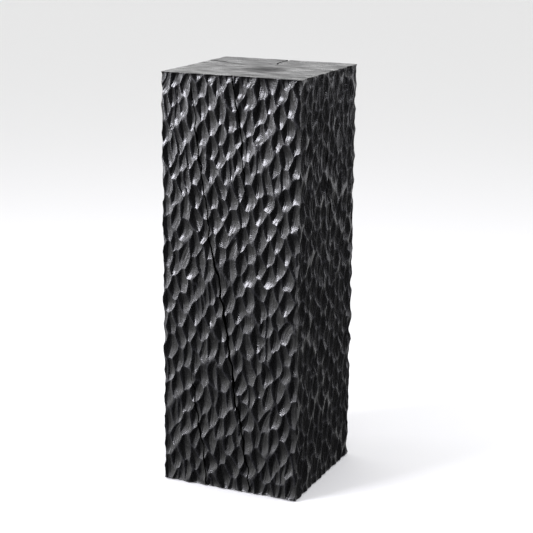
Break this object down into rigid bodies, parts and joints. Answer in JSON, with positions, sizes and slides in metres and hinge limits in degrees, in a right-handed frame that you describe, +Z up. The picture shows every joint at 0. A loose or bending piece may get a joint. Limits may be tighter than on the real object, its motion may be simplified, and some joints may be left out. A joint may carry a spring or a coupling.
{
  "type": "display plinth",
  "caption": "Square timber display plinth, hand-carved on every side and stained black, standing on recessed screw feet with felt pads.",
  "frame": {"origin": "middle of the footprint, on the floor under the felt pads", "axes": "+Z up to the display surface, front face towards -Y, +X to the right seen from the front"},
  "size_m": [0.3, 0.3, 0.85],
  "materials": {
    "stained_timber": "black stained, gouge-carved, satin lacquer",
    "zinc_plated_steel": "turned, bright zinc plate",
    "moulded_nylon": "moulded, fine spark texture",
    "wool_felt": "pressed wool felt"
  },
  "bodies": {
    "plinth": {"carved_block": "stained_timber", "threaded_insert_1": "zinc_plated_steel", "threaded_insert_2": "zinc_plated_steel", "threaded_insert_3": "zinc_plated_steel", "threaded_insert_4": "zinc_plated_steel"},
    "foot_1": {"levelling_foot_1": "moulded_nylon", "felt_pad_1": "wool_felt"},
    "stem_1": {"levelling_stem_1": "zinc_plated_steel"},
    "foot_2": {"levelling_foot_2": "moulded_nylon", "felt_pad_2": "wool_felt"},
    "stem_2": {"levelling_stem_2": "zinc_plated_steel"},
    "foot_3": {"levelling_foot_3": "moulded_nylon", "felt_pad_3": "wool_felt"},
    "stem_3": {"levelling_stem_3": "zinc_plated_steel"},
    "foot_4": {"levelling_foot_4": "moulded_nylon", "felt_pad_4": "wool_felt"},
    "stem_4": {"levelling_stem_4": "zinc_plated_steel"}
  },
  "joints": [
    {"name": "foot_1_height", "type": "slide", "parent": "plinth", "child": "foot_1", "axis": [0, 0, -1], "range_m": [0, 0.01201]},
    {"name": "stem_1_turn", "type": "hinge", "parent": "foot_1", "child": "stem_1", "pos_m": [-0.105, -0.105, 0.012], "axis": [0, 0, 1], "range_deg": [0, 3456]},
    {"name": "foot_2_height", "type": "slide", "parent": "plinth", "child": "foot_2", "axis": [0, 0, -1], "range_m": [0, 0.01201]},
    {"name": "stem_2_turn", "type": "hinge", "parent": "foot_2", "child": "stem_2", "pos_m": [0.105, -0.105, 0.012], "axis": [0, 0, 1], "range_deg": [0, 3456]},
    {"name": "foot_3_height", "type": "slide", "parent": "plinth", "child": "foot_3", "axis": [0, 0, -1], "range_m": [0, 0.01201]},
    {"name": "stem_3_turn", "type": "hinge", "parent": "foot_3", "child": "stem_3", "pos_m": [0.105, 0.105, 0.012], "axis": [0, 0, 1], "range_deg": [0, 3456]},
    {"name": "foot_4_height", "type": "slide", "parent": "plinth", "child": "foot_4", "axis": [0, 0, -1], "range_m": [0, 0.01201]},
    {"name": "stem_4_turn", "type": "hinge", "parent": "foot_4", "child": "stem_4", "pos_m": [-0.105, 0.105, 0.012], "axis": [0, 0, 1], "range_deg": [0, 3456]}
  ],
  "couplings": [
    {"joint": "foot_1_height", "follows": "stem_1_turn", "m_per_rad": 0.00019894},
    {"joint": "foot_2_height", "follows": "stem_2_turn", "m_per_rad": 0.00019894},
    {"joint": "foot_3_height", "follows": "stem_3_turn", "m_per_rad": 0.00019894},
    {"joint": "foot_4_height", "follows": "stem_4_turn", "m_per_rad": 0.00019894}
  ]
}
